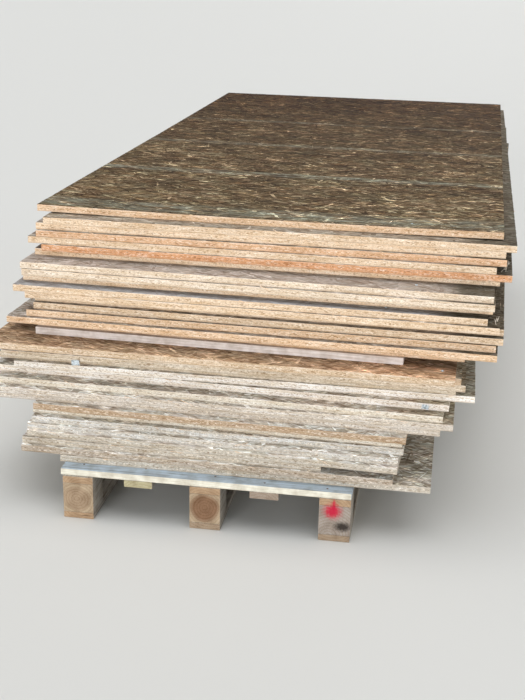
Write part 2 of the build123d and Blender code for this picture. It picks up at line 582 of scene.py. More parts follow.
def banded(tree, spot, local, finish, shade, bands):
    """A face's finish with its pale stripes across the panel. They are dustier, so that their
    strands differ less.
    """
    dull = (1.1, 1.1, 1.1, 1)
    # A stripe fades in between these shares of its half width
    outer, inner = 1.5, 0.4
    dusted = add_node(tree, "ShaderNodeMix", {0: 0.5, 6: shade, 7: dull}, **MIXED)
    for centre, half_width, strength in bands:
        fray, _ = cloud(
            tree,
            spot,
            (60 * MM, 14 * MM, 1.0),
            [(0.40, (0.1, 0.1, 0.1, 1)), (0.58, WHITE)],
        )
        off = add_node(tree, "ShaderNodeMath", {0: local["Y"], 1: centre}, operation="SUBTRACT")
        away = add_node(tree, "ShaderNodeMath", {0: off.outputs[0]}, operation="ABSOLUTE")
        inside = add_node(
            tree,
            "ShaderNodeMapRange",
            {
                "Value": away.outputs[0],
                "From Min": outer * half_width,
                "From Max": inner * half_width,
                "To Max": strength,
            },
            interpolation_type="SMOOTHSTEP",
        )
        share = add_node(
            tree, "ShaderNodeMath", {0: inside.outputs[0], 1: fray}, operation="MULTIPLY"
        )
        pale = toned(tree, dusted.outputs[2], [(1.0, linear(BAND_DUST))])
        band = add_node(tree, "ShaderNodeMix", {0: share.outputs[0], 6: finish, 7: pale}, **MIXED)
        finish = band.outputs[2]
    return finish


def osb_pressed_face(name, tint, contrast, change=None, bands=()):
    """Face of oriented strand board left in the open: flat pressed strands gone dull, matt, each
    with its own tone and with grain along it.

    Contrast says how far the strands differ. A change is another tint that takes over along one
    axis of the panel: the tint, the axis, where it starts and where it is complete. Bands are the
    pale stripes across a panel, each a place and a half width along the panel, and a strength.
    """
    material, tree, shader = new_material(name, 0.95)

    def tone(red, green, blue):
        return (red ** contrast, green ** contrast, blue ** contrast, 1.0)

    stops = [
        (0.0, tone(0.36, 0.31, 0.26)),
        (0.09, tone(0.56, 0.49, 0.42)),
        (0.38, tone(0.93, 0.88, 0.80)),
        (0.62, tone(1.0, 1.0, 1.0)),
        (0.88, tone(1.32, 1.38, 1.48)),
        (0.95, tone(1.7, 1.82, 2.0)),
        (1.0, tone(2.6, 2.8, 3.1)),
    ]
    strand_tone = add_node(tree, "ShaderNodeAttribute", attribute_name="strand_tone")
    local, level = panel_place(tree)
    # Each panel takes its own slice through the patterns, so that no two faces are alike
    slices_per_metre = 40.0
    storey = add_node(
        tree, "ShaderNodeMath", {0: level, 1: slices_per_metre}, operation="MULTIPLY"
    )
    spot = add_node(
        tree,
        "ShaderNodeCombineXYZ",
        {"X": local["X"], "Y": local["Y"], "Z": storey.outputs[0]},
    )
    spot = spot.outputs[0]
    loose = add_node(tree, "ShaderNodeValToRGB", {0: strand_tone.outputs["Fac"]}, stops=stops)

    # Strands that are pressed in flat between the loose ones: two lays that cross
    pressed = []
    for turn, size in ((0.38, (48 * MM, 9 * MM, 1.0)), (-0.50, (54 * MM, 10 * MM, 1.0))):
        turned = add_node(
            tree, "ShaderNodeVectorRotate", {"Vector": spot, "Angle": turn}, rotation_type="Z_AXIS"
        )
        pressed.append(speckle(tree, turned.outputs[0], size, stops))
    choice, _ = cloud(
        tree,
        spot,
        (55 * MM, 16 * MM, 1.0),
        [(0.49, BLACK), (0.51, WHITE)],
        detail=1.0,
    )
    flat = add_node(tree, "ShaderNodeMix", {0: choice, 6: pressed[0], 7: pressed[1]}, **MIXED)
    is_loose = add_node(
        tree, "ShaderNodeMath", {0: strand_tone.outputs["Fac"], 1: 0.001}, operation="GREATER_THAN"
    )
    strands = add_node(
        tree,
        "ShaderNodeMix",
        {0: is_loose.outputs[0], 6: flat.outputs[2], 7: loose.outputs[0]},
        **MIXED,
    )

    grain = strand_grain(tree, spot, strand_tone, is_loose)
    grain_tone = add_node(
        tree,
        "ShaderNodeValToRGB",
        {0: grain},
        stops=[(0.3, tone(0.54, 0.50, 0.45)), (0.52, WHITE), (0.74, tone(1.55, 1.55, 1.5))],
    )
    layers = [(1.0, grain_tone.outputs[0])]

    # Torn fibres: thin pale slivers in two lays that cross
    for turn, size in ((0.6, (42 * MM, 5.0 * MM, 1.0)), (-0.8, (36 * MM, 5.5 * MM, 1.0))):
        turned = add_node(
            tree, "ShaderNodeVectorRotate", {"Vector": spot, "Angle": turn}, rotation_type="Z_AXIS"
        )
        sliver_stops = [
            (0.06, tone(0.55, 0.5, 0.45)),
            (0.14, WHITE),
            (0.88, WHITE),
            (0.95, tone(1.7, 1.74, 1.74)),
        ]
        layers.append((1.0, speckle(tree, turned.outputs[0], size, sliver_stops)))

    # Runs of strands that lie higher or lower than their neighbours, and catch more or less dust
    runs, _ = cloud(
        tree,
        spot,
        (42 * MM, 9 * MM, 1.0),
        [(0.32, tone(0.62, 0.56, 0.50)), (0.5, WHITE), (0.68, tone(1.5, 1.5, 1.5))],
        detail=4.0,
    )

    # Dust and damp: patches as large as a hand
    patches, _ = cloud(
        tree,
        spot,
        (230 * MM, 120 * MM, 1.0),
        [(0.36, tone(0.78, 0.75, 0.72)), (0.62, tone(1.12, 1.12, 1.12))],
        detail=5.0,
    )

    # Some strands redder and some greener than others
    hues, _ = cloud(
        tree,
        spot,
        (70 * MM, 30 * MM, 1.0),
        [(0.36, tone(0.95, 1.01, 0.98)), (0.64, tone(1.06, 0.99, 0.94))],
    )
    layers += [(1.0, runs), (1.0, patches), (1.0, hues)]
    shade = toned(tree, strands.outputs[2], layers)

    base = changed_tint(tree, local, tint, change) if change else tint
    finish = toned(tree, shade, [(1.0, base)])
    if bands:
        finish = banded(tree, spot, local, finish, shade, bands)
    tree.links.new(finish, shader.inputs["Base Color"])
    bump = add_node(
        tree, "ShaderNodeBump", {"Height": grain, "Distance": 0.5 * MM, "Strength": 0.5}
    )
    tree.links.new(bump.outputs[0], shader.inputs["Normal"])
    return material


def pith_distance(tree, grain):
    """How far a point is from the pith, with rings that wander a little as a trunk's do."""
    stray = 14 * MM
    bends_per_metre = (1.2, 16.0, 16.0)
    wander_map = add_node(
        tree, "ShaderNodeMapping", {"Vector": grain.outputs["Vector"], "Scale": bends_per_metre}
    )
    wander = add_node(
        tree, "ShaderNodeTexNoise", {"Vector": wander_map.outputs[0], "Scale": 1.0, "Detail": 2.0}
    )
    shift = add_node(
        tree,
        "ShaderNodeVectorMath",
        {0: wander.outputs["Color"], 1: (0.0, stray, stray)},
        operation="MULTIPLY",
    )
    moved = add_node(
        tree, "ShaderNodeVectorMath", {0: grain.outputs["Vector"], 1: shift.outputs[0]}
    )
    centred = add_node(
        tree,
        "ShaderNodeVectorMath",
        {0: moved.outputs[0], 1: (0, stray / 2, stray / 2)},
        operation="SUBTRACT",
    )
    across = add_node(
        tree, "ShaderNodeVectorMath", {0: centred.outputs[0], 1: (0, 1, 1)}, operation="MULTIPLY"
    )
    radius = add_node(tree, "ShaderNodeVectorMath", {0: across.outputs[0]}, operation="LENGTH")
    return radius.outputs["Value"]


def marked(tree, place, finish, marks):
    """A finish with stains on it."""
    # A stain is whole within the first share of its half size, and gone past the second one
    full, gone = 0.35, 1.55
    _, mist_height = cloud(tree, place, (5 * MM, 5 * MM, 5 * MM), [(0.0, BLACK), (1.0, WHITE)])
    for centre, size, colour, strength, rag in marks:
        off = add_node(tree, "ShaderNodeVectorMath", {0: place, 1: centre}, operation="SUBTRACT")
        scaled = add_node(
            tree, "ShaderNodeVectorMath", {0: off.outputs[0], 1: size}, operation="DIVIDE"
        )
        reach = add_node(tree, "ShaderNodeVectorMath", {0: scaled.outputs[0]}, operation="LENGTH")
        ragged = add_node(
            tree,
            "ShaderNodeMath",
            {0: mist_height, 1: rag, 2: reach.outputs["Value"]},
            operation="MULTIPLY_ADD",
        )
        share = add_node(
            tree,
            "ShaderNodeMapRange",
            {
                "Value": ragged.outputs[0],
                "From Min": gone + rag / 2,
                "From Max": full + rag / 2,
                "To Max": strength,
            },
            interpolation_type="SMOOTHSTEP",
        )
        stained = add_node(
            tree, "ShaderNodeMix", {0: share.outputs[0], 6: finish, 7: colour}, **MIXED
        )
        finish = stained.outputs[2]
    return finish


def sawn_timber(name, tint, weathering_and_painted_light, ring_share=0.8, heart=None, marks=()):
    """Sawn spruce: rings round a pith that runs along the piece, so that its ends show arcs and
    its faces long lines. Dull. Its front and back are fresh. Its other faces take a second tint:
    on the pallet's blocks and boards it is grey from weathering and darker with painted shade,
    on the battens it is painted shade alone, and on the deck boards it is rain grey with a
    painted blue cast of skylight.

    The ring share says how strong the rings are. Heart is a radius round the pith, a softness and a
    colour. Marks are stains, each a place, a half size, a colour, a strength and how ragged it is.
    Rings are really about 2 mm apart. They are drawn 8 mm apart, so that they show.
    """
    material, tree, shader = new_material(name, 0.8)
    grain = add_node(tree, "ShaderNodeAttribute", attribute_name="grain")
    radius = pith_distance(tree, grain)
    ring_pitch = 8 * MM
    rings = add_node(tree, "ShaderNodeMath", {0: radius, 1: 1 / ring_pitch}, operation="MULTIPLY")
    phase = add_node(tree, "ShaderNodeMath", {0: rings.outputs[0]}, operation="FRACT")
    ring_tone = add_node(
        tree,
        "ShaderNodeValToRGB",
        {0: phase.outputs[0]},
        [
            (0.0, (1.03, 1.03, 1.03, 1)),
            (0.5, WHITE),
            (0.85, (0.80, 0.74, 0.66, 1)),
            (0.97, (0.93, 0.90, 0.86, 1)),
        ],
    )
    fibre, fibre_height = cloud(
        tree,
        grain.outputs["Vector"],
        (60 * MM, 2.6 * MM, 2.6 * MM),
        [(0.3, (0.80, 0.77, 0.73, 1)), (0.6, (1.06, 1.06, 1.05, 1))],
    )
    place = add_node(tree, "ShaderNodeTexCoord").outputs["Object"]
    patches, _ = cloud(
        tree,
        place,
        (30 * MM, 30 * MM, 30 * MM),
        [(0.34, (0.80, 0.77, 0.74, 1)), (0.6, (1.06, 1.06, 1.06, 1))],
        detail=5.0,
    )
    base = tint
    if heart:
        heart_radius, softness, heart_colour = heart
        inside = add_node(
            tree,
            "ShaderNodeMapRange",
            {
                "Value": radius,
                "From Min": heart_radius + softness,
                "From Max": heart_radius - softness,
            },
        )
        mixed = add_node(
            tree, "ShaderNodeMix", {0: inside.outputs[0], 6: tint, 7: heart_colour}, **MIXED
        )
        base = mixed.outputs[2]
    checks, _ = cloud(
        tree,
        grain.outputs["Vector"],
        (170 * MM, 4 * MM, 4 * MM),
        [
            (0.32, (0.55, 0.53, 0.50, 1)),
            (0.44, (0.96, 0.96, 0.96, 1)),
            (0.66, (1.16, 1.16, 1.17, 1)),
        ],
    )
    ring_layer = ring_tone.outputs[0]
    fresh_layers = ((0.8, fibre), (ring_share, ring_layer), (1.0, patches))
    grey_layers = ((1.0, fibre), (1.0, checks), (0.6 * ring_share, ring_layer), (1.0, patches))
    fresh = toned(tree, base, fresh_layers)
    grey = toned(tree, weathering_and_painted_light, grey_layers)

    facing = add_node(tree, "ShaderNodeNewGeometry")
    normal = add_node(tree, "ShaderNodeSeparateXYZ", {0: facing.outputs["Normal"]})
    ahead = add_node(tree, "ShaderNodeMath", {0: normal.outputs["Y"]}, operation="ABSOLUTE")
    # Faces that look at least this far to the front or the back start to be, and are, fresh
    start, whole = 0.3, 0.8
    cut_face = add_node(
        tree,
        "ShaderNodeMapRange",
        {"Value": ahead.outputs[0], "From Min": start, "From Max": whole},
    )
    mixed = add_node(tree, "ShaderNodeMix", {0: cut_face.outputs[0], 6: grey, 7: fresh}, **MIXED)
    finish = mixed.outputs[2]
    if marks:
        finish = marked(tree, place, finish, marks)
    tree.links.new(finish, shader.inputs["Base Color"])
    bump = add_node(
        tree, "ShaderNodeBump", {"Height": fibre_height, "Distance": 0.6 * MM, "Strength": 0.5}
    )
    tree.links.new(bump.outputs[0], shader.inputs["Normal"])
    return material


def blotched(name, colour, other, size, roughness, metallic=0.0):
    """One finish in two colours that run into each other in small blotches, for nails and paper."""
    material, tree, shader = new_material(name, roughness)
    place = add_node(tree, "ShaderNodeTexCoord")
    blotches, _ = cloud(
        tree, place.outputs["Object"], (size, size, size), [(0.4, colour), (0.6, other)]
    )
    tree.links.new(blotches, shader.inputs["Base Color"])
    shader.inputs["Metallic"].default_value = metallic
    return material


def lie_of(node):
    """How a board lies: the matrix of its own frame, with its front left bottom corner at zero,
    and its width, length and height.
    """
    corners = [v.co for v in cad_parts[node].data.vertices]
    low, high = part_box(node)
    front_left = min(corners, key=lambda c: c.x + c.y).xy
    front_right = max(corners, key=lambda c: c.x - c.y).xy
    back_left = min(corners, key=lambda c: c.x - c.y).xy
    across = front_right - front_left
    along = back_left - front_left
    turn = math.atan2(across.y, across.x)
    corner = Matrix.Translation((front_left.x, front_left.y, low.z))
    matrix = corner @ Matrix.Rotation(turn, 4, "Z")
    return matrix, across.length, along.length, high.z - low.z


def piece_from(bm, name, node, materials):
    """Makes a finished bmesh an object that stands for a CAD node."""
    mesh = bpy.data.meshes.new(name)
    bm.to_mesh(mesh)
    bm.free()
    for material in materials:
        mesh.materials.append(material)
    piece = bpy.data.objects.new(name, mesh)
    bpy.context.scene.collection.objects.link(piece)
    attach(piece, "root")
    if node:
        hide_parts(node)


def cut_block(width, length, height, cuts):
    """A closed block whose four sides are cut into a band, with one face each on top and below."""
    bm = bmesh.new()
    middle = Matrix.Translation((width / 2, length / 2, height / 2))
    bmesh.ops.create_cube(
        bm, size=1.0, matrix=middle @ Matrix.Diagonal((width, length, height, 1))
    )
    flat = [f for f in bm.faces if abs(f.normal.z) > 0.5]
    bmesh.ops.delete(bm, geom=flat, context="FACES_ONLY")
    for axis, count in enumerate(cuts):
        if count < 1:
            continue
        edges = [e for e in bm.edges if abs((e.verts[0].co - e.verts[1].co)[axis]) > NEAR]
        bmesh.ops.subdivide_edges(bm, edges=edges, cuts=count, use_grid_fill=True)
    rims = [e for e in bm.edges if e.is_boundary]
    bmesh.ops.edgeloop_fill(bm, edges=rims)
    bmesh.ops.recalc_face_normals(bm, faces=bm.faces)
    return bm


def worn_board(width, length, height, pitch, wear, bent):
    """A panel as the saw left it: sides a little uneven, and bits broken out along the arrises. A
    bent one is cut across its faces too, so that they can follow the cup.
    """
    cuts = (round(width / pitch) - 1, round(length / pitch) - 1, 3)
    bm = cut_block(width, length, height, cuts)
    flat = [f for f in bm.faces if abs(f.normal.z) > 0.5]
    bmesh.ops.inset_individual(bm, faces=flat, thickness=2 * wear, use_even_offset=True)
    if bent:
        columns, rows = 24, 12
        planes = [((width * k / columns, 0, 0), (1, 0, 0)) for k in range(1, columns)]
        planes += [((0, length * k / rows, 0), (0, 1, 0)) for k in range(1, rows)]
        for point, normal in planes:
            geometry = [*bm.verts, *bm.edges, *bm.faces]
            bmesh.ops.bisect_plane(bm, geom=geometry, dist=1e-6, plane_co=point, plane_no=normal)
    return bm


def wear_down(bm, width, length, height, wear, seed):
    """Moves the points on a panel's sides inward by a noise, and most of all at the arrises."""
    # How often the noise changes in a metre: along a side, up it, and for the broken bits
    saw_turns, level_turns, break_turns = 38, 160, 22
    # Depths as shares of the wear: of the rough side, of a whole arris and of its broken bits,
    # inward and then down
    side_depth = 0.25
    arris_in, broken_in = 0.15, 1.6
    arris_down, broken_down = 0.05, 0.8
    # Only noise above the rarity breaks a bit out. The two arrises take theirs this far apart.
    rarity = 0.12
    arrises_apart = 9
    for vert in bm.verts:
        x, y, z = vert.co
        side = Vector((0, 0, 0))
        if x < NEAR:
            side.x = 1
        elif x > width - NEAR:
            side.x = -1
        if y < NEAR:
            side.y = 1
        elif y > length - NEAR:
            side.y = -1
        if side.length == 0:
            continue
        spot = Vector((x * saw_turns, y * saw_turns, z * level_turns + seed))
        rough = 0.5 + 0.5 * noise.noise(spot)
        arris = min(z, height - z) < NEAR
        slice_up = seed + arrises_apart * (z > height / 2)
        broken = noise.noise(Vector((x * break_turns, y * break_turns, slice_up)))
        broken = max(0.0, broken - rarity)
        inward = side_depth * wear * rough
        if arris:
            inward += wear * (arris_in + broken_in * broken)
            down = wear * (arris_down + broken_down * broken)
            vert.co.z += down if z < height / 2 else -down
        vert.co += side * inward


def strand_shapes():
    """Four unit strands, one metre long, wide and thick each, with slanted or split ends."""
    shapes = bpy.data.collections.new("strand_shapes")
    ends = ((0.10, -0.06, 0.9), (-0.12, 0.05, 1.0), (0.04, 0.14, 0.75), (-0.03, -0.10, 1.0))
    for number, (left_skew, right_skew, taper) in enumerate(ends):
        bm = bmesh.new()
        bmesh.ops.create_cube(bm, size=1.0)
        for vert in bm.verts:
            skew = left_skew if vert.co.x < 0 else right_skew
            vert.co.x += skew * (1 if vert.co.y > 0 else -1)
            if vert.co.x > 0:
                vert.co.y *= taper
        own = bm.verts.layers.float_vector.new("strand")
        for vert in bm.verts:
            vert[own] = vert.co
        mesh = bpy.data.meshes.new(f"strand_{number}")
        bm.to_mesh(mesh)
        bm.free()
        shapes.objects.link(bpy.data.objects.new(f"strand_{number}", mesh))
    return shapes


def strand_scatter(shapes, sizes, per_square_metre, seed):
    """Node group that strews strands over a sheet and makes them real geometry."""
    group = bpy.data.node_groups.new("strand_scatter", "GeometryNodeTree")
    group.interface.new_socket("Sheet", in_out="INPUT", socket_type="NodeSocketGeometry")
    group.interface.new_socket("Strands", in_out="OUTPUT", socket_type="NodeSocketGeometry")
    sheet = add_node(group, "NodeGroupInput")
    points = add_node(
        group,
        "GeometryNodeDistributePointsOnFaces",
        {"Mesh": sheet.outputs[0], "Density": per_square_metre, "Seed": seed},
    )
    shape = add_node(
        group,
        "GeometryNodeCollectionInfo",
        {0: shapes, 1: True, 2: True},
        transform_space="RELATIVE",
    )
    draw = "FunctionNodeRandomValue"
    pick = add_node(group, draw, {4: 0, 5: 3, "Seed": seed + 1}, data_type="INT")
    largest = Vector((sizes.strand_length, sizes.strand_width, sizes.strand_thickness))
    smallest = largest * Vector((0.3, 0.2, 0.8))
    size = add_node(
        group, draw, {0: smallest, 1: largest, "Seed": seed + 2}, data_type="FLOAT_VECTOR"
    )
    lean = math.radians(0.2)
    swing = Vector((lean, lean, sizes.strand_tilt))
    swings = [
        add_node(
            group, draw, {0: -swing, 1: swing, "Seed": seed + number}, data_type="FLOAT_VECTOR"
        )
        for number in (3, 4)
    ]
    swung = add_node(
        group, "ShaderNodeVectorMath", {0: swings[0].outputs[0], 1: swings[1].outputs[0]}
    )
    turn = add_node(group, "FunctionNodeEulerToRotation", {0: swung.outputs[0]})
    strewn = add_node(
        group,
        "GeometryNodeInstanceOnPoints",
        {
            "Points": points.outputs["Points"],
            "Instance": shape.outputs[0],
            "Pick Instance": True,
            "Instance Index": pick.outputs[2],
            "Rotation": turn.outputs[0],
            "Scale": size.outputs[0],
        },
    )
    tone = add_node(group, draw, {2: 0.01, 3: 1.0, "Seed": seed + 7}, data_type="FLOAT")
    stored = add_node(
        group,
        "GeometryNodeStoreNamedAttribute",
        {"Geometry": strewn.outputs[0], "Name": "strand_tone", "Value": tone.outputs[1]},
        data_type="FLOAT",
        domain="INSTANCE",
    )
    real = add_node(group, "GeometryNodeRealizeInstances", {0: stored.outputs[0]})
    add_node(group, "NodeGroupOutput", {0: real.outputs[0]})
    return group


def exposed_sheet(node, above, margin):
    """The part of a panel's top that the panel above leaves open, and a margin under it."""
    matrix, width, length, _ = lie_of(node)
    bm = bmesh.new()
    from_corner = Matrix.Diagonal((width, length, 1, 1)) @ Matrix.Translation((0.5, 0.5, 0))
    bmesh.ops.create_grid(bm, x_segments=1, y_segments=1, size=0.5, matrix=from_corner)
    if above:
        over, over_width, over_length, _ = lie_of(above)
        into = matrix.inverted() @ over
        inner = (
            (Vector((margin, 0, 0)), Vector((1, 0, 0))),
            (Vector((over_width - margin, 0, 0)), Vector((-1, 0, 0))),
            (Vector((0, margin, 0)), Vector((0, 1, 0))),
            (Vector((0, over_length - margin, 0)), Vector((0, -1, 0))),
        )
        planes = [(into @ point, into.to_3x3() @ normal) for point, normal in inner]
        for point, normal in planes:
            point.z = 0
            geometry = [*bm.verts, *bm.edges, *bm.faces]
            bmesh.ops.bisect_plane(bm, geom=geometry, plane_co=point, plane_no=normal)
        covered = [
            f
            for f in bm.faces
            if all((f.calc_center_median() - point).dot(normal) > 0 for point, normal in planes)
        ]
        bmesh.ops.delete(bm, geom=covered, context="FACES")
    return bm


def strewn_strands(node, above, sizes, shapes, per_square_metre, seed):
    """Real strands on the open part of a panel's top, cut off flush with its edges."""
    _, width, length, _ = lie_of(node)
    bm = exposed_sheet(node, above, sizes.hidden_margin)
    sheet_mesh = bpy.data.meshes.new("sheet")
    bm.to_mesh(sheet_mesh)
    bm.free()
    sheet = bpy.data.objects.new("sheet", sheet_mesh)
    bpy.context.scene.collection.objects.link(sheet)
    modifier = sheet.modifiers.new("strands", "NODES")
    modifier.node_group = strand_scatter(shapes, sizes, per_square_metre, seed)
    bpy.context.view_layer.update()
    evaluated = sheet.evaluated_get(bpy.context.evaluated_depsgraph_get())
    strands = bpy.data.meshes.new_from_object(evaluated)
    bpy.data.objects.remove(sheet)
    bm = bmesh.new()
    bm.from_mesh(strands)
    bpy.data.meshes.remove(strands)
    sides = (
        ((0, 0, 0), (-1, 0, 0)),
        ((width, 0, 0), (1, 0, 0)),
        ((0, 0, 0), (0, -1, 0)),
        ((0, length, 0), (0, 1, 0)),
    )
    for point, outward in sides:
        geometry = [*bm.verts, *bm.edges, *bm.faces]
        bmesh.ops.bisect_plane(
            bm, geom=geometry, plane_co=point, plane_no=outward, clear_outer=True
        )
    open_edges = [e for e in bm.edges if e.is_boundary]
    bmesh.ops.holes_fill(bm, edges=open_edges, sides=8)
    return bm


def joined(bm, other):
    """Adds another bmesh to this one, with its layers."""
    carrier = bpy.data.meshes.new("carrier")
    other.to_mesh(carrier)
    other.free()
    bm.from_mesh(carrier)
    bpy.data.meshes.remove(carrier)


def store_lay(bm):
    """Stores each point's place as it is now, for the patterns of the boards."""
    layer = bm.verts.layers.float_vector.new("lay")
    for vert in bm.verts:
        vert[layer] = vert.co


def dressed_panel(node, above, sizes, shapes, edge, face, per_square_metre, seed):
    """One panel: a worn board with its pressed strands."""
    matrix, width, length, height = lie_of(node)
    rise = height - PANEL_THICKNESS
    bent = rise > 0.1 * MM
    # The strands are sunk a little into the body, and both stay within the panel's thickness
    skin = sizes.strand_thickness
    body = PANEL_THICKNESS - 1.1 * skin
    strand_level = PANEL_THICKNESS - 0.9 * skin
    bm = worn_board(width, length, body, sizes.edge_pitch, sizes.edge_wear, bent)
    wear_down(bm, width, length, body, sizes.edge_wear, seed)
    for board_face in bm.faces:
        board_face.material_index = 1 if abs(board_face.normal.z) > 0.8 else 0
    strands = strewn_strands(node, above, sizes, shapes, per_square_metre, seed)
    bmesh.ops.translate(strands, verts=strands.verts, vec=(0, 0, strand_level))
    for strand_face in strands.faces:
        strand_face.material_index = 1
    joined(bm, strands)
    store_lay(bm)
    if bent:
        for vert in bm.verts:
            x, y, _ = vert.co
            from_middle = 2 * x / width - 1
            vert.co.z += rise * from_middle ** 2 * max(0.0, 1 - y / sizes.cup_fade)
    bmesh.ops.transform(bm, matrix=matrix, verts=bm.verts)
    piece_from(bm, f"{node}_board", node, [edge, face])


def splinter(bm, matrix, size, taper):
    """Adds one torn strand, thinner towards its free end, to a bmesh."""
    made = bmesh.ops.create_cube(bm, size=1.0)
    bmesh.ops.scale(bm, verts=made["verts"], vec=size)
    for vert in made["verts"]:
        if vert.co.x > 0:
            vert.co.y *= taper
            vert.co.z *= taper
    bmesh.ops.transform(bm, matrix=matrix, verts=made["verts"])


def loose_splinters(material):
    """Torn strands that hang from the arrises of the panels, more of them at the top panel."""
    chance = random.Random(SPLINTER_SEED)
    bm = bmesh.new()
    low, high = CAD_BOX
    for number, node in enumerate(PANELS):
        matrix, width, length, _ = lie_of(node)
        count = OTHER_SPLINTERS if number else TOP_SPLINTERS
        for _ in range(count):
            side = chance.choice(("front", "front", "front", "left", "right", "back"))
            along = chance.uniform(0.02, 0.98)
            yaw = chance.uniform(-0.5, 0.5)
            if side in ("left", "right"):
                spot = Vector((0.0 if side == "left" else width, along * length, 0.0))
                yaw += math.pi / 2
            else:
                spot = Vector((along * width, 0.0 if side == "front" else length, 0.0))
            spot.z = PANEL_THICKNESS - chance.uniform(0.5, 3.0) * MM
            droop = chance.uniform(-0.12, 0.35)
            if number == 0 and side == "front" and along < TUFT_SHARE:
                place = TUFT_PLACE + chance.gauss(0, TUFT_SPREAD)
                spot = Vector((place, 2 * MM, chance.uniform(2, 12) * MM))
                yaw = chance.uniform(-2.7, -0.4)
                droop = chance.uniform(-0.1, 0.25)
            size = (
                chance.uniform(14, 38) * MM,
                chance.uniform(1.5, 3.6) * MM,
                chance.uniform(0.5, 1.0) * MM,
            )
            turn = Matrix.Rotation(yaw, 4, "Z") @ Matrix.Rotation(droop, 4, "Y")
            splinter(bm, matrix @ Matrix.Translation(spot) @ turn, size, 0.4)
    for vert in bm.verts:
        vert.co = [min(max(vert.co[k], low[k]), high[k]) for k in range(3)]
    store_lay(bm)
    piece_from(bm, "loose_splinters", None, [material])


def frayed_strands(material):
    """Pale strands that have come off the open corners of a few panels, and one that stands up."""
    chance = random.Random(FRAY_SEED)
    bm = bmesh.new()
    for node, along, back, count, longest, yaw in FRAYS:
        matrix = lie_of(node)[0]
        for _ in range(count):
            size = (
                longest * chance.uniform(0.45, 1.0),
                chance.uniform(1.6, 3.2) * MM,
                chance.uniform(0.5, 0.9) * MM,
            )
            off = chance.uniform(-6, 6) * MM
            up = PANEL_THICKNESS + chance.uniform(0.8, 2.6) * MM
            spot = Vector((along + off, back + 4 * off, up))
            lift = chance.uniform(-0.05, 0.01) if count > 1 else -0.9
            turn = Matrix.Rotation(yaw + chance.uniform(-0.12, 0.12), 4, "Z")
            turn = turn @ Matrix.Rotation(lift, 4, "Y")
            splinter(bm, matrix @ Matrix.Translation(spot) @ turn, size, 0.5)
    store_lay(bm)
    piece_from(bm, "frayed_strands", None, [material])


class STACK_OT_panels(bpy.types.Operator):
    """Make the strand board panels, each with its worn edges and pressed strands"""

    bl_idname = "stack.panels"
    bl_label = "Panels"

    def execute(self, context):
        sizes, colours = settings()
        shapes = strand_shapes()
        edges = {
            tint: osb_sawn_edge(f"osb_edge_{tint}", tuple(getattr(colours, tint)))
            for tint in dict.fromkeys(EDGE_COLOURS)
        }
        painted_shade_strip = (tuple(colours.painted_shade_strip), *PAINTED_SHADE_STRIP)
        low_painted_shade_strip = (tuple(colours.low_painted_shade_strip), *PAINTED_SHADE_STRIP)
        painted_light_end = (tuple(colours.fresh), *PAINTED_LIGHT_END)
        sheltered_back = (tuple(colours.sheltered), *SHELTERED_BACK)
        # Finish by the name of its colour: how far its strands differ, its change and its bands
        finishes = {
            "weathered": (1.35, sheltered_back, TOP_BANDS),
            "buff": (0.6, painted_shade_strip),
            "pale": (0.4, painted_shade_strip),
            "cool": (0.3, painted_shade_strip),
            "dusty": (0.6, painted_shade_strip),
            "brown": (0.7, painted_light_end),
            "sawdust": (0.65, low_painted_shade_strip),
            "grubby": (0.75,),
        }
        faces = {
            name: osb_pressed_face(f"osb_face_{name}", tuple(getattr(colours, name)), *finish)
            for name, finish in finishes.items()
        }
        face_of = dict.fromkeys(UPPER, "dusty") | dict.fromkeys(MIDDLE + LOWER, "sawdust")
        face_of.update({UPPER[0]: "weathered", UPPER[1]: "buff", UPPER[7]: "pale"})
        face_of.update({UPPER[10]: "cool", MIDDLE[0]: "brown", LOWER[-1]: "grubby"})
        for number, (node, tint) in enumerate(zip(PANELS, EDGE_COLOURS)):
            above = PANELS[number - 1] if number else None
            density = OTHER_STRANDS if number else TOP_STRANDS
            face = faces[face_of[node]]
            seed = number * SEED_STEP
            dressed_panel(node, above, sizes, shapes, edges[tint], face, density, seed)
        loose_splinters(edges["straw"])
        frayed_strands(edges["stone"])
        return {"FINISHED"}


def round_arrises(bm, radius):
    """Rounds the sharp edges of a piece."""
    arrises = [e for e in bm.edges if len(e.link_faces) == 2 and e.calc_face_angle(0) > 0.8]
    bmesh.ops.bevel(
        bm,
        geom=arrises,
        offset=radius,
        offset_type="OFFSET",
        segments=2,
        profile=0.5,
        affect="EDGES",
        material=-1,
        clamp_overlap=True,
    )


def store_grain(bm, middle, axis, pith):
    """Stores each point's place in the timber: along the grain, and across from the pith."""
    layer = bm.verts.layers.float_vector.new("grain")
    others = [k for k in range(3) if k != axis]
    for vert in bm.verts:
        off = vert.co - middle
        vert[layer] = (off[axis] + pith[2], off[others[0]] - pith[0], off[others[1]] - pith[1])


def dressed_timber(node, axis, pith, edge_radius, material):
    """A sawn board or block of the pallet: rounded arrises, and its grain stored as distance along
    the piece and across it from the pith. Axis is the direction that the grain runs in.
    """
    low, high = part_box(node)
    size = high - low
    middle = (low + high) / 2
    bm = bmesh.new()
    bmesh.ops.create_cube(
        bm, size=1.0, matrix=Matrix.Translation(middle) @ Matrix.Diagonal((*size, 1))
    )
    step, most_steps = 40 * MM, 60
    for cut_axis in range(3):
        count = min(most_steps, round(size[cut_axis] / step))
        edges = [e for e in bm.edges if abs((e.verts[0].co - e.verts[1].co)[cut_axis]) > NEAR]
        if count > 1:
            bmesh.ops.subdivide_edges(bm, edges=edges, cuts=count - 1, use_grid_fill=True)
    round_arrises(bm, edge_radius)
    store_grain(bm, middle, axis, pith)
    piece_from(bm, f"{node}_timber", node, [material])


